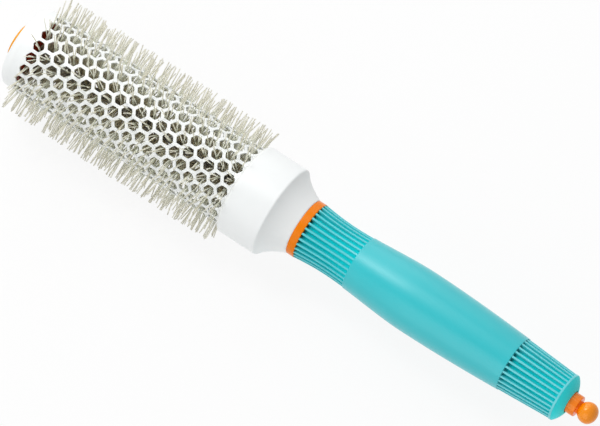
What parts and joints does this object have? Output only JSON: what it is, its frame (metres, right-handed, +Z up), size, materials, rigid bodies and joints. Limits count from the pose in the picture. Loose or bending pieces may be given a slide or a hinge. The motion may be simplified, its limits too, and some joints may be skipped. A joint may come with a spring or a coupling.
{
  "type": "round hair brush",
  "caption": "Vented round barrel hair brush with bristles through hexagonal holes, a soft ribbed handle and a sectioning pick that slides out of the handle's end.",
  "frame": {"origin": "on the ground under the brush's axis, half way along it", "axes": "+X along the brush from the front disc to the knob of the pick, +Z up, the brush lying with its bristles on the ground"},
  "size_m": [0.2806, 0.052, 0.052],
  "materials": {
    "ceramic_barrel": "white ceramic coat on aluminium tube, semi-gloss",
    "white_plastic": "white moulded plastic, gloss",
    "orange_plastic": "orange moulded plastic, gloss",
    "soft_grip": "turquoise soft-touch elastomer, satin",
    "nylon_bristle": "heat-proof nylon filament, natural",
    "steel_wire": "galvanised wire",
    "core_plastic": "natural moulded plastic"
  },
  "bodies": {
    "brush": {"barrel": "ceramic_barrel", "front_cap": "white_plastic", "end_plug": "orange_plastic", "twisted_wire": "steel_wire", "neck": "white_plastic", "accent_ring": "orange_plastic", "handle_core": "core_plastic", "grip": "soft_grip", "pick_sleeve": "core_plastic", "bristle_row_01": "nylon_bristle", "bristle_row_02": "nylon_bristle", "bristle_row_03": "nylon_bristle", "bristle_row_04": "nylon_bristle", "bristle_row_05": "nylon_bristle", "bristle_row_06": "nylon_bristle", "bristle_row_07": "nylon_bristle", "bristle_row_08": "nylon_bristle", "bristle_row_09": "nylon_bristle", "bristle_row_10": "nylon_bristle", "bristle_row_11": "nylon_bristle", "bristle_row_12": "nylon_bristle", "bristle_row_13": "nylon_bristle", "bristle_row_14": "nylon_bristle", "bristle_row_15": "nylon_bristle", "bristle_row_16": "nylon_bristle", "bristle_row_17": "nylon_bristle", "bristle_row_18": "nylon_bristle", "bristle_row_19": "nylon_bristle", "bristle_row_20": "nylon_bristle"},
    "pick": {"pick": "orange_plastic"}
  },
  "joints": [
    {"name": "pick_slide", "type": "slide", "parent": "brush", "child": "pick", "axis": [1, 0, 0], "range_m": [0, 0.032]}
  ]
}
